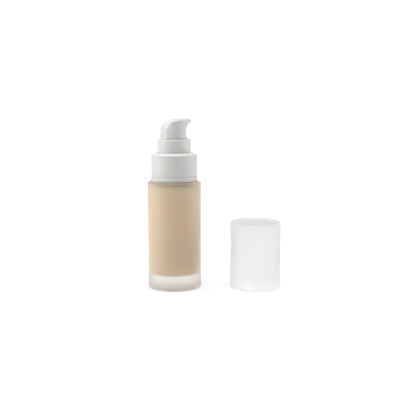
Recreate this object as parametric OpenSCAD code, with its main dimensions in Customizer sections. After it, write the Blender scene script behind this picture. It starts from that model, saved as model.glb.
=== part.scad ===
// Foundation bottle: frosted glass cylinder, treatment pump and loose overcap.
// Millimetres, +Z up, origin at the centre of the bottle's base.
// The bottle stands on its own axis; the overcap stands beside it, towards +X.

/* [Glass bottle] */
// Outer radius of the glass
glass_r = 17; // [16.8:0.1:18]
// Height of the flat top of the shoulder
shoulder_z = 68.6; // [66:0.1:70]
// Wall thickness of the glass
glass_wall = 3; // [2.6:0.1:3.2]
// Thickness of the heavy base
glass_floor = 9; // [7:0.5:9.5]
// Outer radius of the neck, below and between the threads
neck_r = 8.85; // [8.8:0.05:8.85]
// Radius of the neck's bore
neck_bore_r = 6.3; // [6:0.1:6.5]
// Height of the neck's top land
neck_top_z = 82.4; // [82.4:0.1:82.4]

/* [Neck thread] */
// Rise of the thread in one turn
thread_pitch = 3.175; // [3.175:0.005:3.18]
// Turns of thread on the neck and in the closure
thread_turns = 1.5; // [1:0.25:1.5]
// Radius over the crest of the neck's thread
thread_crest_r = 9.85; // [9.6:0.05:9.85]

/* [Collar and closure] */
// Outer radius of the wide smooth collar
collar_r = 14.55; // [14.5:0.05:14.6]
// Outer radius of the lip at the collar's foot
lip_r = 14.8; // [14.7:0.05:14.8]
// Height of the collar's top rim
collar_top_z = 85.5; // [85.4:0.1:85.6]
// Outer radius of the chimney ring
chimney_r = 10.5; // [10.4:0.1:10.6]
// Height of the chimney's rim
chimney_top_z = 95; // [94:0.1:95]
// Radius of the chimney's bore
chimney_bore_r = 8.9; // [8.85:0.05:9]

/* [Press head] */
// Radius of the head's round body
head_r = 8.55; // [8.5:0.05:8.55]
// Height of the head's flat top
head_top_z = 107.8; // [107.5:0.1:108]
// Reach of the spout's tip from the axis
spout_reach = 11.1; // [10.8:0.1:11.3]
// Direction of the spout, counter-clockwise from +X
spout_turn = 11; // [0:1:30]
// Radius of the outlet hole in the spout
outlet_r = 0.6; // [0.5:0.05:0.6]

/* [Pump] */
// Bore radius of the pump cylinder
cylinder_r = 4; // [4:0.05:4]
// Outer radius of the pump cylinder
housing_r = 5.2; // [5:0.1:5.3]
// Full stroke of the head
stroke = 4.5; // [4:0.1:4.5]
// Wire diameter of the return spring
spring_wire = 0.6; // [0.5:0.05:0.65]
// Active turns of the return spring
spring_turns = 6; // [5:1:6]
// Outer radius of the dip tube
tube_r = 1.59; // [1.5:0.01:1.59]
// Radius of the inlet valve's ball
ball_r = 1.5; // [1.5:0.01:1.5]

/* [Overcap] */
// Distance of the overcap's axis from the bottle's axis
cap_x = 52; // [40:1:70]
// Outer radius at the overcap's rim
cap_rim_r = 16.2; // [16:0.05:16.4]
// Outer radius at the top of the overcap's wall
cap_top_r = 15.97; // [15.9:0.01:16]
// Height of the overcap
cap_h = 42.5; // [41:0.5:44]
// Bore radius at the overcap's mouth
cap_bore_r = 14.65; // [14.62:0.01:14.7]

/* [Hidden] */
$fn = 96;
eps = 0.01;

// Glass bottle
heel_r = 1.2;                              // radius of the outer heel
shoulder_r = 2;                            // radius of the outer shoulder
dish_r = 11;                               // radius of the shallow dish under the base
dish_h = 0.6;
cavity_r = glass_r - glass_wall;
cavity_foot_r = 3.5;                       // radius of the cavity's rounded foot
cavity_top_r = 2.5;                        // radius of the cavity's rounded shoulder
cavity_top_z = shoulder_z - 2.5;           // where the rounded shoulder ends
cavity_neck_z = shoulder_z - 1.2;          // where the cavity's roof meets the neck's bore
fill_z = shoulder_z + 0.9;                 // level of the make-up, in the neck
fill_gap = 0.02;                           // skin between the make-up and the glass
dip_gap = 0.15;                            // clearance of the make-up round the pump

// Neck and closure threads, one helix each, half a pitch apart
thread_flank = 0.5;                        // half-width lost per millimetre of height
thread_root_half = 0.95;                   // half-width of the neck's thread at its root
thread_base_z = neck_top_z - 7.2;          // centre of the neck's thread at its start
thread_steps = 24;                         // flat steps in one turn
closure_root_r = 10.05;                    // bore of the closure's skirt
closure_crest_r = 9.05;                    // crest of the closure's thread

// Closure and collar
gasket_h = 0.8;
flange_h = 1.1;                            // thickness of the pump's flange
flange_r = 8.7;
flange_top_z = neck_top_z + gasket_h + flange_h;
guide_flange_r = 7;
guide_flange_h = 1;
deck_z = flange_top_z + guide_flange_h;    // underside of the closure's deck
deck_top_z = deck_z + 1;
deck_hole_r = 4.5;
closure_skirt_r = 11.4;
closure_foot_z = shoulder_z + 0.7;
rib_r = 13.1;                              // reach of the closure's ribs
rib_count = 24;
rib_w = 0.9;
seat_z = collar_top_z - 1.1;               // where the shell's top rests on the closure
shell_bore_r = rib_r + 0.05;
shell_foot_z = shoulder_z + 0.3;
lip_top_z = shoulder_z + 2.6;
groove_z = lip_top_z + 0.75;               // middle of the snap groove
groove_h = 0.6;
groove_depth = 0.25;
collar_edge_r = 1.2;
crown_h = 1.1;                             // rise of the collar's top towards the chimney
rim_edge_r = 0.7;

// Pump, from the top down
guide_foot_z = flange_top_z - 5;           // foot of the guide's plug
stop_z = guide_foot_z + 0.9;               // where the stem's shoulder stops
guide_boss_r = 3.2;
guide_boss_z = deck_top_z + 0.6;
stem_r = 2.2;
stem_bore_r = 1.3;
stem_gap = 0.05;                           // running clearance of the stem
shoulder_stem_r = 3.1;
shoulder_stem_h = 1.15;
stem_top_z = 99.6;
stem_foot_z = 75.5;
piston_foot_z = 73;
piston_top_z = 78.3;
piston_lip_r = cylinder_r - 0.02;
piston_waist_r = cylinder_r - 0.6;
seat_flange_r = 3.5;
seat_flange_h = 1;
spigot_r = stem_bore_r - 0.02;
flute_w = 1;
rod_r = 1.2;
cylinder_foot_z = 61.5;                    // floor of the pump cylinder
rod_foot_z = cylinder_foot_z + stroke + 0.6;
spring_r = 2.9;                            // mean radius of the coil
spring_sides = 8;
spring_steps = 20;                         // rings in one turn
cage_top_z = cylinder_foot_z - 1.9;        // ceiling of the ball chamber
cage_hole_r = 1.35;
cage_r = 1.9;
ball_seat_z = 56;
ball_seat_r = 1.2;
socket_top_z = ball_seat_z - 1.5;
socket_r = 1.6;
socket_wall = 1.3;
housing_foot_z = socket_top_z - 8;
taper_z = 58.5;                            // where the housing starts to narrow
vent_r = 0.35;
vent_z = 77;
tube_bore_r = 1;
tube_foot_z = glass_floor + 1.6;

// Head
skirt_foot_z = deck_top_z + stroke + 0.5;
skirt_wall = 1.15;
core_r = 5.6;                              // bore behind the scooped front
core_z = 94.6;                             // where the skirt's bore narrows to the core
skirt_roof_z = 99.8;
scoop_low_z = 95;                          // the front is scooped in from here
scoop_r = 7.05;                            // reach of the front at the scoop's deepest
scoop_mid_z = 100;
beak_under_z = 105.7;                      // underside of the nose
crown_u = 3.5;                             // where the crown's arc meets the flat top
crown_arc_r = 20;
back_edge_r = 3;                           // rounding of the domed back
side_edge_r = 2;                           // rounding of the beak's sides
tip_r = 2.4;                               // plan radius of the spout's tip
boss_r = 3.3;                              // tube in the head that takes the stem
boss_foot_z = 91.9;
feed_r = 1;
outlet_z = head_top_z - 1.1;

// Overcap
cap_edge_r = 1.3;
cap_roof = 1.3;
cap_inner_r = 14.45;                       // bore radius under the roof
cap_straight = 13;                         // depth of the parallel part of the bore

// Points of an arc round [cx, cy], from angle a to angle b
function arc(cx, cy, r, a, b, n = 10) =
    [for (i = [0:n]) [cx + r * cos(a + (b - a) * i / n), cy + r * sin(a + (b - a) * i / n)]];

// One ring of a thread's section: root, crest, crest, root, with the ends run out to nothing
function thread_ring(r_root, r_crest, half, z0, i, n) =
    let (
        turn = 360 * i / thread_steps,
        ease = min(1, min(i, n - i) / (thread_steps / 8)),
        crest = r_root + (r_crest - r_root) * ease,
        tip = half - thread_flank * abs(crest - r_root),
        z = z0 + thread_pitch * i / thread_steps
    )
    [for (p = [[r_root, -half], [crest, -tip], [crest, tip], [r_root, half]])
        [p[0] * cos(turn), p[0] * sin(turn), z + p[1]]];

// A closed solid through n + 1 rings of m points each; the rings turn about +Z
module swept(points, m, n, inside_out = false) {
    sides = [for (i = [0:n - 1], k = [0:m - 1])
        let (a = m * i + k, b = m * i + (k + 1) % m)
        each [[a, b, b + m], [a, b + m, a + m]]];
    ends = [[for (k = [m - 1:-1:0]) k], [for (k = [0:m - 1]) m * n + k]];
    faces = concat(sides, ends);
    turned = [for (f = faces) [for (k = [len(f) - 1:-1:0]) f[k]]];
    polyhedron(points, inside_out ? turned : faces);
}

// A helical ridge from r_root to r_crest, outwards or inwards
module thread(r_root, r_crest, half, z0, turns) {
    n = round(turns * thread_steps);
    points = [for (i = [0:n]) each thread_ring(r_root, r_crest, half, z0, i, n)];
    swept(points, 4, n, r_crest < r_root);
}

// Outline of the glass from the axis out, then up to the neck's land
module glass_outline() {
    polygon(concat(
        [[0, dish_h], [dish_r - 2, dish_h], [dish_r, 0]],
        arc(glass_r - heel_r, heel_r, heel_r, -90, 0, 6),
        arc(glass_r - shoulder_r, shoulder_z - shoulder_r, shoulder_r, 0, 90, 8),
        [[neck_r + 0.6, shoulder_z], [neck_r, shoulder_z + 0.6]],
        [[neck_r, neck_top_z - 0.4], [neck_r - 0.4, neck_top_z], [0, neck_top_z]]
    ));
}

// Outline of the cavity with its radii made smaller by gap, up to height top
module cavity_outline(gap, top) {
    r = cavity_r - gap;
    foot = cavity_foot_r;
    cap = cavity_top_r;
    polygon(concat(
        [[0, glass_floor + gap]],
        arc(r - foot, glass_floor + foot + gap, foot, -90, 0, 8),
        arc(r - cap, cavity_top_z - cap - gap, cap, 0, 90, 8),
        [[neck_bore_r - gap, cavity_neck_z - gap], [neck_bore_r - gap, top], [0, top]]
    ));
}

module glass_bottle() {
    color("gainsboro")
    difference() {
        union() {
            rotate_extrude() glass_outline();
            thread(neck_r - 0.1, thread_crest_r, thread_root_half, thread_base_z, thread_turns);
        }
        rotate_extrude() cavity_outline(0, neck_top_z + 1);
    }
}

// The room that the pump and its tube need, widening upwards so that the pump lifts out freely
module pump_room() {
    rotate_extrude() polygon([
        [0, tube_foot_z - 0.5],
        [tube_r + dip_gap, tube_foot_z - 0.5],
        [tube_r + dip_gap, housing_foot_z - dip_gap],
        [socket_r + socket_wall + dip_gap, housing_foot_z - dip_gap],
        [socket_r + socket_wall + dip_gap, socket_top_z],
        [housing_r + dip_gap, taper_z - dip_gap],
        [housing_r + dip_gap, neck_top_z],
        [0, neck_top_z]
    ]);
}

module foundation_liquid() {
    color("burlywood")
    difference() {
        intersection() {
            rotate_extrude() cavity_outline(fill_gap, neck_top_z);
            cylinder(r = glass_r, h = fill_z);
        }
        pump_room();
    }
}

module collar_shell() {
    crown_z = collar_top_z + crown_h;
    color("white")
    rotate_extrude() polygon(concat(
        [[shell_bore_r, shell_foot_z], [lip_r - 0.15, shell_foot_z], [lip_r, shell_foot_z + 0.15]],
        [[lip_r, lip_top_z - 0.08], [lip_r - 0.08, lip_top_z], [collar_r, lip_top_z]],
        [[collar_r, groove_z - groove_h / 2], [collar_r - groove_depth, groove_z - groove_h / 4]],
        [[collar_r - groove_depth, groove_z + groove_h / 4], [collar_r, groove_z + groove_h / 2]],
        arc(collar_r - collar_edge_r, collar_top_z - collar_edge_r, collar_edge_r, 0, 90, 8),
        [[chimney_r + 0.1, crown_z], [chimney_r + 0.1, seat_z], [shell_bore_r, seat_z]]
    ));
}

module screw_closure() {
    color("white")
    union() {
        rotate_extrude() polygon(concat(
            [[closure_root_r, closure_foot_z], [closure_skirt_r, closure_foot_z]],
            [[closure_skirt_r, seat_z - 1.2], [rib_r, seat_z - 1.2], [rib_r, seat_z]],
            [[chimney_r, seat_z]],
            arc(chimney_r - rim_edge_r, chimney_top_z - rim_edge_r, rim_edge_r, 0, 90, 6),
            [[chimney_bore_r + 0.25, chimney_top_z], [chimney_bore_r, chimney_top_z - 0.25]],
            [[chimney_bore_r, deck_top_z], [deck_hole_r, deck_top_z], [deck_hole_r, deck_z]],
            [[guide_flange_r + 0.1, deck_z], [guide_flange_r + 0.1, flange_top_z]],
            [[closure_root_r, flange_top_z]]
        ));
        for (i = [0:rib_count - 1])
            rotate([0, 0, i * 360 / rib_count])
            translate([closure_skirt_r - 0.3, -rib_w / 2, closure_foot_z + 1])
            cube([rib_r - closure_skirt_r + 0.25, rib_w, seat_z - closure_foot_z - 1.5]);
        thread(closure_root_r + 0.1, closure_crest_r, thread_root_half + 0.02,
            thread_base_z + thread_pitch / 2 - thread_pitch, thread_turns);
    }
}

module neck_gasket() {
    color("whitesmoke")
    translate([0, 0, neck_top_z])
    difference() {
        cylinder(r = flange_r, h = gasket_h);
        translate([0, 0, -1]) cylinder(r = housing_r + 0.1, h = gasket_h + 2);
    }
}

module pump_housing() {
    wall_r = socket_r + socket_wall;
    color("whitesmoke")
    difference() {
        rotate_extrude() polygon([
            [cylinder_r, cylinder_foot_z],
            [cage_hole_r, cylinder_foot_z],
            [cage_hole_r, cage_top_z],
            [cage_r, cage_top_z],
            [cage_r, ball_seat_z],
            [ball_seat_r, ball_seat_z],
            [ball_seat_r, socket_top_z],
            [socket_r, socket_top_z],
            [socket_r, housing_foot_z],
            [wall_r, housing_foot_z],
            [wall_r, socket_top_z],
            [housing_r, taper_z],
            [housing_r, flange_top_z - flange_h],
            [flange_r, flange_top_z - flange_h],
            [flange_r, flange_top_z],
            [cylinder_r, flange_top_z]
        ]);
        translate([0, 0, vent_z]) rotate([0, 90, 0]) cylinder(r = vent_r, h = housing_r + 1);
    }
}

module stem_guide() {
    color("whitesmoke")
    rotate_extrude() polygon([
        [shoulder_stem_r + 0.2, guide_foot_z],
        [cylinder_r - 0.02, guide_foot_z],
        [cylinder_r - 0.02, flange_top_z],
        [guide_flange_r, flange_top_z],
        [guide_flange_r, deck_z],
        [guide_boss_r, deck_z],
        [guide_boss_r, guide_boss_z],
        [stem_r + stem_gap, guide_boss_z],
        [stem_r + stem_gap, stop_z],
        [shoulder_stem_r + 0.2, stop_z]
    ]);
}

module dip_tube() {
    color("ghostwhite")
    difference() {
        translate([0, 0, tube_foot_z]) cylinder(r = tube_r, h = socket_top_z - tube_foot_z);
        translate([0, 0, tube_foot_z - 1]) cylinder(r = tube_bore_r, h = socket_top_z);
        translate([-tube_r - 1, -5, tube_foot_z]) rotate([0, 30, 0]) translate([-5, 0, -5]) cube([10, 10, 5]);
    }
}

module check_ball() {
    rest_z = ball_seat_z + sqrt(pow(ball_r, 2) - pow(ball_seat_r, 2)) + 0.02;
    color("silver")
    translate([0, 0, rest_z]) sphere(r = ball_r);
}

module return_spring() {
    low = cylinder_foot_z + spring_wire / 2 + 0.02;
    high = piston_foot_z - seat_flange_h - spring_wire / 2 - 0.02;
    n = spring_turns * spring_steps;
    m = spring_sides;
    points = [for (i = [0:n], k = [0:m - 1])
        let (
            turn = 360 * i / spring_steps,
            side = 360 * k / m,
            r = spring_r + spring_wire / 2 * cos(side),
            z = low + (high - low) * i / n + spring_wire / 2 * sin(side)
        )
        [r * cos(turn), r * sin(turn), z]];
    color("silver") swept(points, m, n);
}

module piston() {
    color("ivory")
    rotate_extrude() polygon([
        [stem_r + 0.25, piston_foot_z],
        [piston_waist_r, piston_foot_z],
        [piston_lip_r, piston_foot_z + 0.1],
        [piston_lip_r, piston_foot_z + 0.7],
        [piston_waist_r, piston_foot_z + 1.4],
        [piston_waist_r, piston_top_z - 1.4],
        [piston_lip_r, piston_top_z - 0.7],
        [piston_lip_r, piston_top_z],
        [stem_r + stem_gap, piston_top_z],
        [stem_r + stem_gap, stem_foot_z],
        [stem_r + 0.25, stem_foot_z - 0.3]
    ]);
}

module lower_stem() {
    flange_z = piston_foot_z - seat_flange_h;
    spigot_h = 6;
    color("snow")
    union() {
        translate([0, 0, rod_foot_z]) cylinder(r = rod_r, h = flange_z - rod_foot_z + eps);
        translate([0, 0, flange_z]) cylinder(r = seat_flange_r, h = seat_flange_h - 0.02);
        difference() {
            translate([0, 0, flange_z + 0.5]) cylinder(r = spigot_r, h = spigot_h + 2);
            for (i = [0:3])
                rotate([0, 0, 45 + 90 * i])
                translate([0.55, -flute_w / 2, flange_z + seat_flange_h])
                cube([2, flute_w, spigot_h + 2]);
        }
    }
}

module upper_stem() {
    color("snow")
    difference() {
        union() {
            translate([0, 0, stem_foot_z]) cylinder(r = stem_r, h = stem_top_z - stem_foot_z);
            translate([0, 0, stop_z - 0.05 - shoulder_stem_h])
                cylinder(r = shoulder_stem_r, h = shoulder_stem_h);
        }
        translate([0, 0, stem_foot_z - 1]) cylinder(r = stem_bore_r, h = stem_top_z);
    }
}

// What the front of the head leaves, seen from the side: u runs along the spout, z up
module head_front() {
    rise = beak_under_z - scoop_mid_z;
    out = spout_reach - scoop_r;
    polygon(concat(
        [[-head_r - 1, skirt_foot_z - 1], [head_r + 0.1, skirt_foot_z - 1], [head_r + 0.1, scoop_low_z]],
        [for (t = [0.75, 0.5, 0.25]) [
            scoop_r + (head_r - scoop_r) * pow(t, 1.6),
            scoop_mid_z - (scoop_mid_z - scoop_low_z) * t
        ]],
        [for (t = [0:0.125:0.875]) [
            scoop_r + out * (1 - pow(1 - t * t, 0.58)),
            scoop_mid_z + rise * t
        ]],
        [[spout_reach - 0.6, beak_under_z - 0.15], [spout_reach, beak_under_z + 0.5]],
        [[spout_reach, head_top_z - 1], [spout_reach - 0.3, head_top_z - 0.3]],
        [[spout_reach - 1, head_top_z], [-head_r - 1, head_top_z]]
    ));
}

// Round body with its domed back, spun round the axis
module head_dome() {
    centre_z = head_top_z - crown_arc_r;
    join = acos((head_r - back_edge_r + crown_u) / (crown_arc_r - back_edge_r));
    edge_z = centre_z + (crown_arc_r - back_edge_r) * sin(join);
    rotate_extrude() polygon(concat(
        [[0, skirt_foot_z], [head_r, skirt_foot_z]],
        arc(head_r - back_edge_r, edge_z, back_edge_r, 0, join, 6),
        arc(-crown_u, centre_z, crown_arc_r, join + 3, acos(crown_u / crown_arc_r), 5)
    ));
}

// The beak: its plan carried up, then cut by its side and end outlines
module head_beak() {
    low_z = scoop_mid_z - 1;
    intersection() {
        translate([0, 0, low_z]) linear_extrude(head_top_z - low_z) beak_plan();
        rotate([90, 0, 0]) translate([0, 0, -20]) linear_extrude(40) polygon([
            [-4.6, low_z], [-3.2, head_top_z - 3.6], [-1.6, head_top_z - 1.5], [0, head_top_z - 0.3],
            [crown_u - 1.5, head_top_z - 0.05], [crown_u, head_top_z], [20, head_top_z], [20, low_z]
        ]);
        rotate([90, 0, 90]) translate([0, 0, -20]) linear_extrude(40) polygon(concat(
            [[-head_r, low_z], [head_r, low_z]],
            arc(head_r - side_edge_r, head_top_z - side_edge_r, side_edge_r, 0, 90, 6),
            arc(side_edge_r - head_r, head_top_z - side_edge_r, side_edge_r, 90, 180, 6)
        ));
    }
}

// Plan of the beak: two tangents from the body to the round tip
module beak_plan() {
    tip_u = spout_reach - tip_r;
    lean = asin((head_r - tip_r) / tip_u);
    union() {
        circle(r = head_r);
        translate([tip_u, 0]) circle(r = tip_r);
        polygon([
            [head_r * sin(lean), head_r * cos(lean)],
            [tip_u + tip_r * sin(lean), tip_r * cos(lean)],
            [tip_u + tip_r * sin(lean), -tip_r * cos(lean)],
            [head_r * sin(lean), -head_r * cos(lean)]
        ]);
    }
}

module actuator_head() {
    color("white")
    rotate([0, 0, spout_turn])
    difference() {
        intersection() {
            union() {
                head_dome();
                head_beak();
            }
            rotate([90, 0, 0]) translate([0, 0, -20]) linear_extrude(40) head_front();
        }
        difference() {
            union() {
                translate([0, 0, skirt_foot_z - 1])
                    cylinder(r = head_r - skirt_wall, h = core_z - skirt_foot_z + 1);
                translate([0, 0, skirt_foot_z]) cylinder(r = core_r, h = skirt_roof_z - skirt_foot_z);
            }
            translate([0, 0, boss_foot_z]) cylinder(r = boss_r, h = 20);
        }
        translate([0, 0, boss_foot_z - 1])
            cylinder(r = stem_r + 0.03, h = stem_top_z + 0.4 - boss_foot_z + 1);
        cylinder(r = feed_r, h = outlet_z);
        translate([0, 0, outlet_z]) rotate([0, 90, 0]) cylinder(r = outlet_r, h = spout_reach + 1);
    }
}

module overcap() {
    color("aliceblue", 0.5)
    translate([cap_x, 0, 0])
    rotate_extrude() polygon(concat(
        [[cap_bore_r + 0.3, 0], [cap_rim_r - 0.2, 0], [cap_rim_r, 0.2]],
        arc(cap_top_r - cap_edge_r, cap_h - cap_edge_r, cap_edge_r, 0, 90, 8),
        [[0, cap_h], [0, cap_h - cap_roof]],
        arc(cap_inner_r - 0.8, cap_h - cap_roof - 0.8, 0.8, 90, 0, 6),
        [[cap_bore_r, cap_straight], [cap_bore_r, 0.3]]
    ));
}

glass_bottle();
foundation_liquid();
collar_shell();
screw_closure();
neck_gasket();
pump_housing();
stem_guide();
dip_tube();
check_ball();
return_spring();
piston();
lower_stem();
upper_stem();
actuator_head();
overcap();
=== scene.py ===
# %% [markdown]
# # A foundation bottle with a treatment pump
#
# This lesson builds the looks of a small cosmetic bottle: a frosted glass cylinder full of beige
# make-up, a white pump with a duckbill press head, and its translucent overcap standing beside it.
# The engineering model is already made. It fixes where every piece is and how it moves, and here
# each visible piece gets a finer surface and a finish. Every number below is in millimetres until
# the moment a mesh is made, when it becomes metres.

import math

import bpy
import numpy as np
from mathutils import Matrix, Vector


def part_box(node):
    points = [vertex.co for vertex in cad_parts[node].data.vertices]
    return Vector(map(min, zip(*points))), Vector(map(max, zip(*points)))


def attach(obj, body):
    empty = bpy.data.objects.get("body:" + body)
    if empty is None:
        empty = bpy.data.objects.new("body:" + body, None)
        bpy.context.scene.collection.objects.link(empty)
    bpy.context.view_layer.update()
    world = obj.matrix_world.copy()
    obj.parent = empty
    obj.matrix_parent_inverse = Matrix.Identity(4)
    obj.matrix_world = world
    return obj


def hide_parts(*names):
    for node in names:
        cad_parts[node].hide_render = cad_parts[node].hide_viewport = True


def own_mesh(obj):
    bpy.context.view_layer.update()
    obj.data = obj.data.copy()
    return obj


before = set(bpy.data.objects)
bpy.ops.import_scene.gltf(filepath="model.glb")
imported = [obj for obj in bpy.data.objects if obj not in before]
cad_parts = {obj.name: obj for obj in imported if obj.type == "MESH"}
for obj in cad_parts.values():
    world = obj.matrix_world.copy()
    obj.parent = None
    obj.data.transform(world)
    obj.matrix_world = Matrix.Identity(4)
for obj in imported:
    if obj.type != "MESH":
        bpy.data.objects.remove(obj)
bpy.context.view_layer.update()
MM = 0.001

# %% [markdown]
# ## Measures taken from the frame
#
# A piece that is drawn again has to sit exactly where the engineering model says. So the driving
# measures are read from the boxes of its nodes, and only small details, such as an edge's
# rounding, are given as numbers of their own.


# %% Read the driving measures
def span(node):
    """Lowest and highest corner of a node's box at rest, in millimetres."""
    low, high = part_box(node)
    return np.array(low) / MM, np.array(high) / MM


GLASS, FILL, SHELL = span("glass_bottle"), span("foundation_liquid"), span("collar_shell")
CLOSURE, HEAD, CAP = span("screw_closure"), span("actuator_head"), span("overcap")
GUIDE, SPRING, TUBE = span("stem_guide"), span("return_spring"), span("dip_tube")

glass_r = GLASS[1][0]
neck_top = GLASS[1][2]
shell_foot = SHELL[0][2]
shoulder_top = shell_foot - 0.3
floor_z = FILL[0][2]
cavity_r = FILL[1][0] + 0.02
fill_z = FILL[1][2]
chimney_top = CLOSURE[1][2]
head_foot, head_top = HEAD[0][2], HEAD[1][2]
cap_x = (CAP[0][0] + CAP[1][0]) / 2
cap_h = CAP[1][2]
print(f"glass radius {glass_r:.2f}, neck top {neck_top:.2f}")
print(f"head {head_foot:.2f} to {head_top:.2f}, cap at {cap_x:.2f}, {cap_h:.2f} high")

# %% [markdown]
# ## Two ways to make a surface
#
# Nearly every piece of such a bottle is turned or moulded round one axis, so one tool does most of
# the work: a profile is spun round the axis. The profile's corners are never sharp on a moulded
# part, so a second helper rounds them first. Both work on whole arrays, and give a grid of points
# that one function turns into a mesh.


# %% Helpers: rounded outlines and grids of points
def rounded(corners, steps=6):
    """Outline through corners (x, y, radius): a corner with a radius is replaced by the arc that
    touches both its sides, from steps + 1 points. The arc's centre lies on the corner's bisector,
    radius / sin(half the angle) away; the points turn evenly round it."""
    c = np.array(corners, float)
    path = []
    for i, (x, y, radius) in enumerate(c):
        p = np.array([x, y])
        if radius <= 0 or i in (0, len(c) - 1):
            path.append(p[None])
            continue
        a, b = c[i - 1, :2] - p, c[i + 1, :2] - p
        a, b = a / np.linalg.norm(a), b / np.linalg.norm(b)
        half = math.acos(np.clip(a @ b, -1, 1)) / 2
        reach = radius / math.tan(half)
        middle = p + (a + b) / np.linalg.norm(a + b) * radius / math.sin(half)
        start, end = p + a * reach - middle, p + b * reach - middle
        turn = math.atan2(start[0] * end[1] - start[1] * end[0], start @ end)
        t = np.linspace(0, turn, steps + 1)[:, None]
        quarter = np.array([-start[1], start[0]])
        path.append(middle + start * np.cos(t) + quarter * np.sin(t))
    return np.vstack(path)


def shown_smooth(mesh, angle=40):
    """Smooth shading, kept crisp where two faces meet at more than the angle."""
    mesh.polygons.foreach_set("use_smooth", np.ones(len(mesh.polygons), bool))
    mesh.set_sharp_from_angle(angle=math.radians(angle))
    mesh.update()


def grid_piece(name, grid, round_rows=False, first_pole=False, last_pole=False):
    """A mesh from a grid of points, rows by columns by 3, in millimetres.
    Columns always close on themselves. Rows close too if round_rows is true. A pole is a row whose
    points are one point: it is kept once and fanned to the next row. Faces are turned outwards by
    the sign of the enclosed volume, one sixth of the sum of a . (b x c) over all triangles."""
    rows, cols = grid.shape[:2]
    index = np.arange(rows * cols).reshape(rows, cols)
    if first_pole:
        index[0] = index[0, 0]
    if last_pole:
        index[-1] = index[-1, 0]
    low = index if round_rows else index[:-1]
    high = np.roll(index, -1, 0) if round_rows else index[1:]
    quads = np.stack([low, np.roll(low, -1, 1), np.roll(high, -1, 1), high], -1).reshape(-1, 4)
    points = grid.reshape(-1, 3) * MM
    same = np.stack([quads[:, 0] == quads[:, 1], quads[:, 2] == quads[:, 3]], 1)
    tops, feet = quads[same[:, 0]][:, [0, 2, 3]], quads[same[:, 1]][:, [0, 1, 2]]
    quads = quads[~same.any(1)]
    tris = np.vstack([quads[:, [0, 1, 2]], quads[:, [0, 2, 3]], tops, feet])
    a, b, c = (points[tris[:, k]] for k in range(3))
    if np.einsum("ij,ij->i", a, np.cross(b, c)).sum() < 0:
        quads, tops, feet = quads[:, ::-1], tops[:, ::-1], feet[:, ::-1]
    corners = np.concatenate([quads.ravel(), tops.ravel(), feet.ravel()])
    used, back = np.unique(corners, return_inverse=True)
    split = np.cumsum([quads.size, tops.size])
    quads, tops, feet = (part.reshape(-1, w) for part, w in zip(np.split(back, split), (4, 3, 3)))
    mesh = bpy.data.meshes.new(name)
    mesh.from_pydata(points[used].tolist(), [], quads.tolist() + tops.tolist() + feet.tolist())
    shown_smooth(mesh)
    piece = bpy.data.objects.new(name, mesh)
    bpy.context.scene.collection.objects.link(piece)
    print(f"{name}: {len(mesh.polygons)} faces")
    return piece


def lathe(name, profile, columns=144, centre=0.0, swell=None):
    """A profile of (radius, height) spun round +Z: x = r cos a + centre, y = r sin a, z = height.
    swell(r, z, a) is added to the radius, for threads and ribs. A profile that starts and ends on
    the axis closes with poles; any other is joined end to start."""
    a = np.linspace(0, 2 * np.pi, columns, endpoint=False)[None]
    r, z = profile[:, :1], profile[:, 1:]
    full = r + (swell(r, z, a) if swell else np.zeros_like(a))
    grid = np.stack([full * np.cos(a) + centre, full * np.sin(a), z + 0 * a], -1)
    on_axis = profile[0, 0] < 1e-9
    return grid_piece(name, grid, not on_axis, on_axis, profile[-1, 0] < 1e-9)


def dense(profile, step):
    """The same outline with points no further apart than step, by straight interpolation."""
    gaps = np.linalg.norm(np.diff(profile, axis=0), axis=1)
    at = np.concatenate([[0], np.cumsum(gaps)])
    wanted = [np.linspace(at[i], at[i + 1], max(1, math.ceil(g / step)), endpoint=False)
              for i, g in enumerate(gaps)]
    t = np.concatenate(wanted + [at[-1:]])
    return np.stack([np.interp(t, at, profile[:, k]) for k in (0, 1)], 1)


def placed(piece, body, slot, *nodes):
    """The piece rides on its body and stands for its nodes. The slot is not used."""
    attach(piece, body)
    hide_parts(*nodes)
    return piece


# %% [markdown]
# ## Finishes
#
# A moulded or frosted surface is never one flat colour. Its colour drifts a little, its gloss
# varies with the tool's polish, and there is a fine grain. One helper wires that up for every
# finish: slow noise for the colour, faster noise for the roughness and a fine noise for the bump,
# all on Object coordinates, so the pattern stays on the piece. Values that are the same all over a
# surface are set on the shader's own sockets.


# %% Helpers: a stretched value, a product, and one builder for all the finishes
def ranged(tree, value, start, end, low, high, smooth=False):
    """Map Range node: low at start, high at end, straight or smoothstep between."""
    made = tree.nodes.new("ShaderNodeMapRange")
    made.interpolation_type = "SMOOTHSTEP" if smooth else "LINEAR"
    numbers = {"From Min": start, "From Max": end, "To Min": low, "To Max": high}
    for socket, number in numbers.items():
        made.inputs[socket].default_value = number
    tree.links.new(value, made.inputs["Value"])
    return made.outputs["Result"]


def product(tree, a, b):
    """Math node: a times b."""
    made = tree.nodes.new("ShaderNodeMath")
    made.operation = "MULTIPLY"
    tree.links.new(a, made.inputs[0])
    tree.links.new(b, made.inputs[1])
    return made.outputs["Value"]


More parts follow.
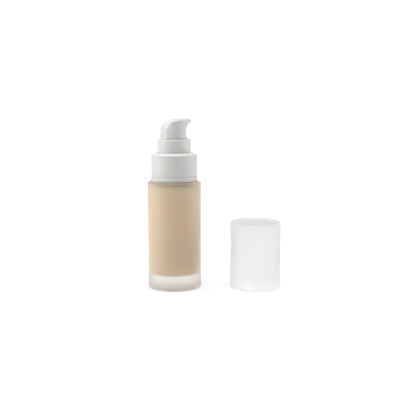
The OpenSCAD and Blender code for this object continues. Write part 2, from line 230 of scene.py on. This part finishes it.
def finish(name, light, dark, rough, patch=60.0, grain=1500.0, relief=0.00001, bump=0.15,
           **constant):
    """A principled finish. Colour runs from dark to light with slow noise (patch per metre),
    roughness between the two values of rough, and a fine noise (grain per metre) gives the
    relief. Any other keyword is a socket's constant value."""
    material = bpy.data.materials.new(name)
    material.use_nodes = True
    tree = material.node_tree
    nodes, links = tree.nodes, tree.links
    shader = nodes["Principled BSDF"]
    place = nodes.new("ShaderNodeTexCoord").outputs["Object"]

    def noise(scale, detail):
        made = nodes.new("ShaderNodeTexNoise")
        made.inputs["Scale"].default_value = scale
        made.inputs["Detail"].default_value = detail
        links.new(place, made.inputs["Vector"])
        return made.outputs["Fac"]

    tint = nodes.new("ShaderNodeValToRGB")
    tint.color_ramp.elements[0].position, tint.color_ramp.elements[1].position = 0.35, 0.65
    tint.color_ramp.elements[0].color = (*dark, 1)
    tint.color_ramp.elements[1].color = (*light, 1)
    links.new(noise(patch, 2.0), tint.inputs["Fac"])
    links.new(tint.outputs["Color"], shader.inputs["Base Color"])
    links.new(ranged(tree, noise(patch * 5, 3.0), 0.3, 0.7, *rough), shader.inputs["Roughness"])
    if bump > 0:
        raised = nodes.new("ShaderNodeBump")
        raised.inputs["Strength"].default_value = bump
        raised.inputs["Distance"].default_value = relief
        links.new(noise(grain, 2.0), raised.inputs["Height"])
        links.new(raised.outputs["Normal"], shader.inputs["Normal"])
    for socket, value in constant.items():
        shader.inputs[socket.replace("_", " ")].default_value = value
    return material


def dressed(piece, material):
    """The piece, or carried-over node, wears this material only."""
    piece.data.materials.clear()
    piece.data.materials.append(material)
    return piece


# %% [markdown]
# ### White moulded plastic
#
# The pump's outer pieces are polypropylene, filled with white pigment and moulded in a satin tool.
# Light goes a little way in, so a small amount of subsurface scattering softens the shading, and
# the gloss is low but not matt.

# %% White plastics of the pump
white_plastic = finish(
    "white_moulded_plastic", (0.75, 0.753, 0.733), (0.735, 0.738, 0.718), (0.34, 0.42),
    bump=0.12, Subsurface_Weight=0.15, Subsurface_Scale=0.001, IOR=1.49)
natural_plastic = finish(
    "milky_unpigmented_plastic", (0.84, 0.84, 0.80), (0.78, 0.78, 0.74), (0.38, 0.5),
    Subsurface_Weight=0.4, Subsurface_Scale=0.002, IOR=1.5)
soft_plastic = finish(
    "soft_seal_plastic", (0.82, 0.80, 0.74), (0.78, 0.76, 0.70), (0.45, 0.6),
    Subsurface_Weight=0.3, Subsurface_Scale=0.002, IOR=1.5)
stem_plastic = finish(
    "hard_stem_plastic", (0.86, 0.86, 0.84), (0.83, 0.83, 0.81), (0.22, 0.3), bump=0.05, IOR=1.48)
print("plastics:", [m.name for m in bpy.data.materials])

# %% [markdown]
# ### Frosted glass
#
# The bottle is clear soda glass whose outside was etched with acid. The etching leaves microscopic
# pits, so light that crosses the surface is scattered: the make-up behind it looks soft, and the
# thick base glows. A transmissive shader with a rough surface does that. Inside, the glass is
# smooth and wet, so the liquid has to touch it with no air between.

# %% Frosted glass and the overcap's translucent plastic
frosted_glass = finish(
    "frosted_glass", (1.0, 0.98, 0.95), (0.975, 0.955, 0.925), (0.42, 0.5),
    grain=2600.0, relief=0.00002, bump=0.25, Transmission_Weight=0.84, IOR=1.5,
    Sheen_Weight=0.7, Sheen_Roughness=0.45)
frosted_cap = finish(
    "frosted_cap_plastic", (0.965, 0.965, 0.96), (0.95, 0.95, 0.945), (0.36, 0.44),
    grain=2000.0, relief=0.00002, bump=0.2, Transmission_Weight=0.92, IOR=1.18)
clear_tube = finish(
    "translucent_tube", (0.93, 0.94, 0.93), (0.90, 0.91, 0.90), (0.3, 0.4),
    Transmission_Weight=0.6, IOR=1.5)

# %% [markdown]
# ### Make-up and metals
#
# Foundation is a thick cream of pigment in oil and water. It is opaque, even in colour with faint
# drifts where it was filled, and glossy where it is wet. The spring and ball are stainless steel.

# %% Make-up, spring wire and ball
make_up = finish(
    "beige_make_up", (1.0, 0.745, 0.49), (0.985, 0.725, 0.47), (0.25, 0.35), patch=45.0, bump=0.0,
    Subsurface_Weight=1.0, Subsurface_Radius=(1.0, 0.4, 0.2), Subsurface_Scale=0.006, IOR=1.45)
spring_steel = finish(
    "drawn_spring_wire", (0.62, 0.62, 0.63), (0.5, 0.5, 0.52), (0.22, 0.34), patch=400.0,
    grain=6000.0, Metallic=1.0)
ball_steel = finish(
    "polished_ball", (0.75, 0.75, 0.76), (0.7, 0.7, 0.71), (0.06, 0.12), patch=500.0, bump=0.0,
    Metallic=1.0)

# %% [markdown]
# ## The glass
#
# A heavy-base bottle is pressed and blown: the outside is a plain cylinder with a small heel and a
# soft shoulder, the floor is thick, and the neck carries a helical thread. It could be a stack of
# cylinders joined by booleans, but one profile spun round the axis gives a single clean wall. The
# thread is a swelling of the radius that follows the angle, so it is part of the same surface.

# %% Neck thread as a swelling of the radius
thread_pitch = 3.175
thread_turns = 1.5
thread_start = neck_top - 7.2


def thread_swell(crest, half_foot, half_crest, start):
    """Radius added by a helical ridge: at angle a, each turn's middle is start + pitch * turns.
    The ridge is full within half_crest of the middle and fades to nothing at half_foot, and its
    height eases in and out over the first and last eighth of a turn."""
    def swell(r, z, a):
        total = 0.0 * z + 0.0 * a
        for turn in range(math.ceil(thread_turns) + 1):
            t = a / (2 * np.pi) + turn
            away = np.abs(z - start - thread_pitch * t)
            side = np.clip((half_foot - away) / (half_foot - half_crest), 0, 1)
            ends = np.clip(np.minimum(t, thread_turns - t) * 8, 0, 1)
            total = np.maximum(total, crest * side * ends)
        return total
    return swell


# %% Glass wall: outside, land, bore and cavity in one closed profile
dish_r, dish_z, rest_r = 8.6, 0.6, 11.2
neck_r, neck_bore_r = 8.85, 6.3
roof_foot, roof_top = shoulder_top - 2.4, shoulder_top - 1.2
outside = rounded([
    (0, dish_z, 0), (dish_r, dish_z, 1.2), (rest_r, 0, 1.5), (glass_r, 0, 1.2),
    (glass_r, shoulder_top, 2.0), (neck_r, shoulder_top, 0.6), (neck_r, neck_top, 0.4),
    (neck_bore_r, neck_top, 0.3), (neck_bore_r, roof_top, 1.0), (cavity_r, roof_foot, 2.4),
    (cavity_r, floor_z, 3.5), (0, floor_z, 0)], steps=9)
print("glass outline:", len(outside), "points")


def neck_swell(r, z, a):
    """The thread, only on the outer wall of the neck."""
    on_neck = (np.abs(r - neck_r) < 0.05) & (z > shoulder_top + 1)
    return np.where(on_neck, thread_swell(1.0, 0.95, 0.45, thread_start)(r, z, a), 0.0)


glass = lathe("bottle_glass", dense(outside, 0.8), 160, swell=neck_swell)
placed(dressed(glass, frosted_glass), "bottle", "frosted_glass", "glass_bottle")

# %% [markdown]
# ## The make-up
#
# The fill wets the glass, so its surface is drawn a hair into the wall: a ray inside the glass
# meets the cream directly and never an air gap, which would look silvery. A full bottle is wet up
# to the roof of the shoulder and a little way into the neck, where the fill ends in a small
# meniscus. A well is left for the pump and its tube.

# %% Make-up with its meniscus
wet = 0.015
tube_well, nozzle_well, barrel_well = 1.74, 3.05, 5.35
well_foot, nozzle_foot, cone_foot, cone_top = TUBE[0][2] - 0.5, 46.2, 54.5, 58.35
cream = rounded([
    (0, floor_z - wet, 0), (cavity_r + wet, floor_z - wet, 3.5),
    (cavity_r + wet, roof_foot + wet, 2.4), (neck_bore_r + wet, roof_top + wet, 0.9),
    (neck_bore_r + wet, fill_z + 0.3, 0.0), (neck_bore_r - 0.25, fill_z, 0.2),
    (barrel_well, fill_z, 0.0), (barrel_well, cone_top, 0.4), (nozzle_well, cone_foot, 0.4),
    (nozzle_well, nozzle_foot, 0.2), (tube_well, nozzle_foot, 0.1), (tube_well, well_foot, 0.2),
    (0, well_foot, 0)], steps=8)
liquid = lathe("make_up_fill", dense(cream, 1.5), 128)
placed(dressed(liquid, make_up), "bottle", "make_up", "foundation_liquid")

# %% [markdown]
# ## Collar and closure
#
# Two mouldings: the closure screws on the neck and carries the chimney that the head slides in;
# the smooth collar is pressed over it to hide its ribs. The collar has a lip at its foot, where
# the overcap stops, and a fine groove above it.

# %% Collar ring
lip_top = shoulder_top + 2.6
groove = lip_top + 0.75
collar_r, lip_r, shell_bore = 14.55, SHELL[1][0], 13.15
mouth_r, crown_bore = 13.6, 10.6
crown_top = SHELL[1][2]
rim_top = crown_top - 1.1
seat = rim_top - 1.1
collar = rounded([
    (mouth_r, shell_foot, 0), (lip_r, shell_foot, 0.2), (lip_r, lip_top, 0.12),
    (collar_r, lip_top, 0.08), (collar_r, groove - 0.3, 0.06),
    (collar_r - 0.25, groove - 0.12, 0.06), (collar_r - 0.25, groove + 0.12, 0.06),
    (collar_r, groove + 0.3, 0.06),
    (collar_r, rim_top, 1.2), (crown_bore, crown_top, 0.12), (crown_bore, seat, 0.1),
    (shell_bore, seat, 0.4), (shell_bore, shell_foot, 0.15), (mouth_r, shell_foot, 0)],
    steps=7)[:-1]
ring = lathe("collar_ring", dense(collar, 3.0), 160)
placed(dressed(ring, white_plastic), "collar", "white_plastic", "collar_shell")

# %% Closure: threaded skirt, ribs, deck and chimney
closure_foot = CLOSURE[0][2]
chimney_r, chimney_bore = 10.5, 8.9
deck_under, deck_top = GUIDE[1][2] - 1.6, GUIDE[1][2] - 0.6
skirt_bore, skirt_r, rib_r, ribs = 10.05, 11.4, CLOSURE[1][0], 24
skirt_foot_r, stem_way, recess_r = 10.6, 4.5, 7.1
closure = rounded([
    (skirt_foot_r, closure_foot, 0), (skirt_r, closure_foot, 0.2), (skirt_r, closure_foot + 1, 0),
    (skirt_r + 0.01, seat - 1.3, 0), (skirt_r, seat - 1.2, 0), (rib_r, seat - 1.2, 0.1),
    (rib_r, seat, 0.1), (chimney_r, seat, 0), (chimney_r, chimney_top, 0.7),
    (chimney_bore, chimney_top, 0.3), (chimney_bore, deck_top, 0.3),
    (stem_way, deck_top, 0.15), (stem_way, deck_under, 0.1), (recess_r, deck_under, 0.1),
    (recess_r, deck_under - 1, 0.1), (skirt_bore, deck_under - 1, 0.3),
    (skirt_bore, closure_foot, 0.2), (skirt_foot_r, closure_foot, 0)], steps=7)[:-1]


def closure_swell(r, z, a):
    """Ribs on the skirt's outside, from a raised cosine of the angle, and the inner thread."""
    on_skirt = (np.abs(r - skirt_r) < 0.05) & (z > closure_foot + 0.9) & (z < seat - 1.25)
    rib = np.clip((np.cos(ribs * a) - 0.75) / 0.15, 0, 1) * (rib_r - skirt_r - 0.06)
    bore = (np.abs(r - skirt_bore) < 0.02) & (z < deck_under - 1.2)
    inward = thread_swell(1.0, 0.95, 0.45, thread_start - thread_pitch / 2)(r, z, a)
    return np.where(on_skirt, rib, 0.0) - np.where(bore, inward, 0.0)


cap_closure = lathe("threaded_closure", dense(closure, 0.5), 288, swell=closure_swell)
placed(dressed(cap_closure, white_plastic), "collar", "white_plastic", "screw_closure")

# %% [markdown]
# ## The press head
#
# The head is one moulding: a round skirt, a domed back that levels off into a flat bill, and the
# duckbill spout. It could be carved with booleans, but the joins would need blending by hand. Here
# the outside is a radius that depends on the angle and the height. Low down it is a circle. Higher
# up the plan grows into a teardrop, two lines that leave the circle and touch the small circle of
# the tip. The front is cut by a curve that is scooped in under the bill and swings out to the tip.
# The top is a height: in front it depends only on the distance along the spout, and behind on the
# distance from the axis. It rolls over the edge with a quarter-round.

# %% Outline functions of the head
head_r, spout_turn = 8.55, math.radians(11)
reach, tip_r = 11.1, 2.4
scoop_r, scoop_z, scoop_low, bill_z = 7.05, 100.0, 95.0, 105.7
crown_r, flat_start = 20.0, 3.5


def eased(value, start, end):
    """0 below start, 1 above end, and 3 t^2 - 2 t^3 between."""
    t = np.clip((value - start) / (end - start), 0, 1)
    return t * t * (3 - 2 * t)


def top_height(u, v):
    """Height of the head's top: one arc that levels off where the flat of the bill starts. Behind
    the middle, the distance u along the spout is replaced step by step by the distance from the
    axis, sqrt(u^2 + share v^2), which turns the sloping back into a dome."""
    share = eased(np.degrees(np.arctan2(np.abs(v), u)), 104, 140)
    back = np.where(u < 0, -np.sqrt(u * u + share * v * v), u)
    off = np.minimum(back - flat_start, 0)
    return head_top - crown_r + np.sqrt(crown_r**2 - off * off)


def front_limit(z):
    """Furthest reach of the front at height z: from the scoop's deepest, t^1.6 of the way out
    downwards, and 1 - (1 - t^2)^0.58 of the way out upwards, to the bill's upright nose."""
    low = np.clip((scoop_z - z) / (scoop_z - scoop_low), 0, 1.2)
    up = np.clip((z - scoop_z) / (bill_z - scoop_z), 0, 1)
    below = scoop_r + (head_r - scoop_r) * low**1.6
    above = scoop_r + (reach - scoop_r) * (1 - (1 - up**2) ** 0.58)
    return np.where(z < scoop_z, below, above)


def teardrop(a):
    """Plan radius of the bill at angle a from the spout: the circle of the body, the tangent line,
    or the circle of the tip, whichever that angle meets."""
    tip_u = reach - tip_r
    lean = math.asin((head_r - tip_r) / tip_u)
    a = np.abs(np.arctan2(np.sin(a), np.cos(a)))
    touch = math.atan2(tip_r * math.cos(lean), tip_u + tip_r * math.sin(lean))
    line = head_r / np.cos(np.minimum(np.abs(a - (math.pi / 2 - lean)), 1.2))
    tip = tip_u * np.cos(a) + np.sqrt(np.maximum(tip_r**2 - (tip_u * np.sin(a)) ** 2, 0))
    return np.where(a > math.pi / 2 - lean, head_r, np.where(a > touch, line, tip))


def wall_radius(a, z):
    """Radius of the head's wall: circle below, teardrop above, limited by the front. The smaller
    of the two is taken softly, as -k log(exp(-p / k) + exp(-q / k)), so the edges are rounded."""
    plan = head_r + (teardrop(a) - head_r) * eased(z, 99, 103)
    front = front_limit(z) / np.maximum(np.cos(a), 0.05)
    k = 0.12
    near = np.minimum(plan, front)
    return near - k * np.log(np.exp(-(plan - near) / k) + np.exp(-(front - near) / k))


# %% Head: outside wall, rolled edge and top in one grid
angle = np.linspace(0, 2 * np.pi, 240, endpoint=False)
around = np.degrees(np.abs(np.arctan2(np.sin(angle), np.cos(angle))))
# The edge's rounding grows from the bill to the back; the wall ends that far under the top.
edge = 1.15 + 0.85 * eased(around, 50, 92) + 0.7 * eased(around, 105, 140)
wall_end = np.full_like(angle, head_top - 1)
for _ in range(80):
    r = wall_radius(angle, wall_end)
    wall_end = 0.6 * wall_end + 0.4 * (top_height(r * np.cos(angle), r * np.sin(angle)) - edge)
t = np.linspace(0, 1, 50)[:, None]
wall_z = head_foot + 0.3 + (wall_end - head_foot - 0.3) * t
wall = np.stack([wall_radius(angle, wall_z), wall_z], -1)
rim_r = wall[-1, :, 0]
roll = np.linspace(0, np.pi / 2, 11)[1:, None]
flat = np.linspace(0.04, 1, 26)[:, None]
inset = np.concatenate([edge * (1 - np.cos(roll)), edge + (rim_r - edge) * flat])
drop = np.concatenate([edge * (1 - np.sin(roll)), 0 * flat * edge])
top_r = np.maximum(rim_r - inset, 0)
upper = np.stack([top_r, top_height(top_r * np.cos(angle), top_r * np.sin(angle)) - drop], -1)

# %% Head: hollow inside with the tube that takes the stem
skirt_in, core_r, core_z, roof_z = 7.4, 5.6, 94.6, 99.8
boss_r, boss_foot, socket_r, socket_top = 3.3, 91.9, 2.23, 100.0
feed_r, feed_top = 1.0, 106.7
inner = rounded([
    (head_r - 0.3, head_foot, 0), (skirt_in, head_foot, 0.2), (skirt_in, core_z, 0.4),
    (core_r, core_z, 0.3), (core_r, roof_z, 0.5), (boss_r, roof_z, 0.4), (boss_r, boss_foot, 0.2),
    (socket_r, boss_foot, 0.2), (socket_r, socket_top, 0.1), (feed_r, socket_top, 0.1),
    (feed_r, feed_top, 0), (0, feed_top, 0)], steps=5)
foot = rounded([
    (head_r, head_foot + 0.3, 0), (head_r, head_foot, 0.28), (head_r - 0.3, head_foot, 0)],
    steps=4)[1:-1]
under = np.vstack([foot, inner])[::-1, None] * np.ones((1, len(angle), 1))
section = np.concatenate([under, wall, upper])
grid = np.stack([
    section[..., 0] * np.cos(angle + spout_turn), section[..., 0] * np.sin(angle + spout_turn),
    section[..., 1]], -1)
head = grid_piece("duckbill_head", grid, False, True, True)

# %% [markdown]
# The outlet is a small round hole in the nose. A hole can't be part of a radius that depends on
# the angle, so this one is cut: a short rod, spun like everything else, is turned along the spout
# and taken away.

# %% Head: the outlet hole
outlet_r, flare_r, outlet_z = 0.6, 0.95, head_top - 1.1
rod = rounded([
    (0, 0.4, 0), (outlet_r, 0.4, 0), (outlet_r, reach - 0.5, 0), (flare_r, reach + 0.25, 0),
    (flare_r, reach + 1.9, 0), (0, reach + 1.9, 0)])
spun = np.linspace(0, 2 * np.pi, 40, endpoint=False)
along, r = rod[:, 1:], rod[:, :1]
side, up = r * np.cos(spun), r * np.sin(spun) + outlet_z
cutter_grid = np.stack([
    along * math.cos(spout_turn) - side * math.sin(spout_turn),
    along * math.sin(spout_turn) + side * math.cos(spout_turn), up + 0 * along], -1)
cutter = grid_piece("outlet_cutter", cutter_grid, False, True, True)
cut = head.modifiers.new("outlet", "BOOLEAN")
cut.operation, cut.object, cut.solver = "DIFFERENCE", cutter, "EXACT"
bpy.context.view_layer.update()
solved = head.evaluated_get(bpy.context.evaluated_depsgraph_get())
finished = bpy.data.meshes.new_from_object(solved)
head.modifiers.clear()
head.data = finished
bpy.data.objects.remove(cutter)
shown_smooth(head.data, 38)
print("duckbill_head with its outlet:", len(head.data.polygons), "faces")
placed(dressed(head, white_plastic), "head", "white_plastic", "actuator_head")

# %% [markdown]
# ## Inside the pump
#
# These pieces are hidden when the bottle is whole, but they are what makes it work, and they show
# when the part is taken apart. The turned ones keep the engineering model's shape and only get
# their finish. The spring is drawn again as a wire swept along a helix, with closed end coils.

# %% Return spring
wire_r, coil_r, coils, closing = 0.3, 2.9, 6, 0.45
spring_low, spring_high = SPRING[0][2] + wire_r, SPRING[1][2] - wire_r


def coil_points(count, sides):
    """A wire round a helix: the middle turns evenly, and its height t - closing sin(2 pi t) / 2 pi
    eases at both ends, where the coils lie closed. Each section is a circle in the plane of the
    axis and the middle point."""
    t = np.linspace(0, 1, count)[:, None]
    s = np.linspace(0, 2 * np.pi, sides, endpoint=False)[None]
    climb = t - np.sin(2 * np.pi * t) / (2 * np.pi) * closing
    turn = 2 * np.pi * coils * t
    radius = coil_r + wire_r * np.cos(s)
    height = spring_low + (spring_high - spring_low) * climb + wire_r * np.sin(s)
    return np.stack([radius * np.cos(turn), radius * np.sin(turn), height], -1)


wire = coil_points(coils * 40 + 1, 12)
ends = [np.repeat(wire[k].mean(0)[None, None], 12, 1) for k in (0, -1)]
spring = grid_piece("spring_coil", np.concatenate([ends[0], wire, ends[1]]), False, True, True)
placed(dressed(spring, spring_steel), "pump", "spring_steel", "return_spring")
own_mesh(spring)

# %% Finishes of the carried-over pieces
for node, material in {
    "neck_gasket": soft_plastic, "pump_housing": natural_plastic, "stem_guide": natural_plastic,
    "dip_tube": clear_tube, "check_ball": ball_steel, "piston": soft_plastic,
    "lower_stem": stem_plastic, "upper_stem": stem_plastic,
}.items():
    dressed(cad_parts[node], material)
    print(f"{node}: {material.name}")

# %% [markdown]
# ## The overcap
#
# A thin cup in frosted, unpigmented plastic. Its wall tapers a little so that it leaves the mould,
# the inside is parallel near the mouth to grip the collar, and the gate where the plastic went in
# leaves a tiny dimple in the middle of the top.

# %% Overcap
cap_rim, cap_top_r, cap_bore, cap_inner = CAP[1][0] - cap_x, 15.97, 14.65, 14.45
roof = 1.3
cup = rounded([
    (0, cap_h - 0.15, 0), (0.7, cap_h - 0.15, 0.15), (1.0, cap_h, 0.12), (cap_top_r, cap_h, 1.3),
    (cap_rim, 0, 0.2), (cap_bore, 0, 0.25), (cap_bore, 13, 0), (cap_inner, cap_h - roof, 0.8),
    (0, cap_h - roof, 0)], steps=8)
cap = lathe("cap_shell", dense(cup, 4.0), 160, centre=cap_x)
placed(dressed(cap, frosted_cap), "overcap", "frosted_cap", "overcap")

# %% [markdown]
# ## Floor, light and camera
#
# Packaging is shown on a bright white sweep, with a big soft light on each side and one above.
# The left one is stronger than the right, which draws the darker band a little right of the
# middle of each white cylinder. The floor gives out light of its own, more of it further off, so
# it stays white all over and lifts the undersides. Only right under the bottle does it go dark: a
# bottle shades the spot it stands on, and the glow would otherwise shine up through the glass.
# Distances are in metres from here on.
#
# The room is bright behind the bottle and unlit on the camera's side, so the fronts keep their
# shading. The camera itself sees an even white backdrop in its place. Rays that have come through
# a see-through piece find the room three times as bright, which keeps the overcap light.

# %% Floor
floor_half = 3.0
glow_start, glow_end, near_glow, far_glow = 0.15, 1.2, 0.64, 0.97
# Painted shadow: right under the bottle the floor's glow is turned down, inside these radii in
# metres.
painted_shadow_in, painted_shadow_out, painted_shadow_glow = 0.011, 0.018, 0.05
corners = np.array([(-1, -1, 0), (1, -1, 0), (1, 1, 0), (-1, 1, 0)], float) * floor_half
floor_mesh = bpy.data.meshes.new("floor")
floor_mesh.from_pydata(corners.tolist(), [], [(0, 1, 2, 3)])
floor = bpy.data.objects.new("floor", floor_mesh)
bpy.context.scene.collection.objects.link(floor)
floor_white = finish(
    "white_sweep", (0.36, 0.36, 0.36), (0.35, 0.35, 0.35), (0.8, 0.9), patch=3.0, bump=0.0)
tree = floor_white.node_tree
away = tree.nodes.new("ShaderNodeVectorMath")
away.operation = "LENGTH"
tree.links.new(tree.nodes["Texture Coordinate"].outputs["Object"], away.inputs[0])
glow = ranged(
    tree, away.outputs["Value"], glow_start, glow_end, near_glow, far_glow, smooth=True)
# Painted shadow under the bottle: the glow falls to a twentieth at its middle and is full again
# outside.
rest = ranged(tree, away.outputs["Value"], painted_shadow_in, painted_shadow_out, painted_shadow_glow, 1.0)
shader = tree.nodes["Principled BSDF"]
tree.links.new(product(tree, glow, rest), shader.inputs["Emission Strength"])
shader.inputs["Emission Color"].default_value = (1, 1, 1, 1)
dressed(floor, floor_white)
print(f"floor: {2 * floor_half} m square, glow {near_glow} near and {far_glow} far")


# %% Lights
def softbox(name, place, target, width, height, power):
    """A rectangular area light at place, turned to face target."""
    light = bpy.data.lights.new(name, "AREA")
    light.shape, light.size, light.size_y, light.energy = "RECTANGLE", width, height, power
    lamp = bpy.data.objects.new(name, light)
    bpy.context.scene.collection.objects.link(lamp)
    direction = np.array(target, float) - np.array(place, float)
    lamp.location = place
    lamp.rotation_mode = "QUATERNION"
    lamp.rotation_quaternion = Vector(direction).to_track_quat("-Z", "Y")
    print(f"{name}: {power} W, {np.linalg.norm(direction):.2f} m off")
    return lamp


subject = (0.02, 0, 0.06)
softbox("left_softbox", (-0.98, -0.17, 0.35), subject, 0.5, 0.9, 5.75)
softbox("right_softbox", (1.0, 0.09, 0.35), subject, 0.5, 0.9, 3.0)
softbox("top_softbox", (0.0, -0.05, 1.0), subject, 0.7, 0.7, 9.0)

# %% Room: bright behind, unlit on the camera's side
fade_start, fade_end, behind = -0.2, 0.3, 0.35
see_through_gain, backdrop_level = 2.0, 1.05
world = bpy.data.worlds.new("studio")
world.use_nodes = True
tree = world.node_tree
split = tree.nodes.new("ShaderNodeSeparateXYZ")
tree.links.new(tree.nodes.new("ShaderNodeTexCoord").outputs["Generated"], split.inputs["Vector"])
fade = ranged(tree, split.outputs["Y"], fade_start, fade_end, 0.0, behind)
path = tree.nodes.new("ShaderNodeLightPath")
through = tree.nodes.new("ShaderNodeMath")
through.operation = "MULTIPLY_ADD"
through.inputs[1].default_value, through.inputs[2].default_value = see_through_gain, 1.0
tree.links.new(path.outputs["Is Transmission Ray"], through.inputs[0])
backdrop = tree.nodes.new("ShaderNodeMix")
backdrop.inputs["B"].default_value = backdrop_level
tree.links.new(path.outputs["Is Camera Ray"], backdrop.inputs["Factor"])
tree.links.new(product(tree, fade, through.outputs["Value"]), backdrop.inputs["A"])
tree.links.new(backdrop.outputs["Result"], tree.nodes["Background"].inputs["Strength"])
tree.nodes["Background"].inputs["Color"].default_value = (1, 1, 1, 1)
bpy.context.scene.world = world
bpy.context.scene.view_settings.view_transform = "Standard"
print(f"room: {behind} behind, backdrop {backdrop_level}")

# %% Camera
lens, tilt, stand = 60.78, 8.31, (0.02278, -0.4498, 0.11547)
camera_data = bpy.data.cameras.new("camera")
camera_data.sensor_width = 36
camera_data.lens = lens
camera_data.clip_start, camera_data.clip_end = 0.01, 20
camera = bpy.data.objects.new("camera", camera_data)
bpy.context.scene.collection.objects.link(camera)
camera.location = stand
camera.rotation_euler = (math.radians(90 - tilt), 0, 0)
bpy.context.scene.camera = camera
print(f"camera: {lens} mm lens at {stand}, looking {tilt} degrees down")
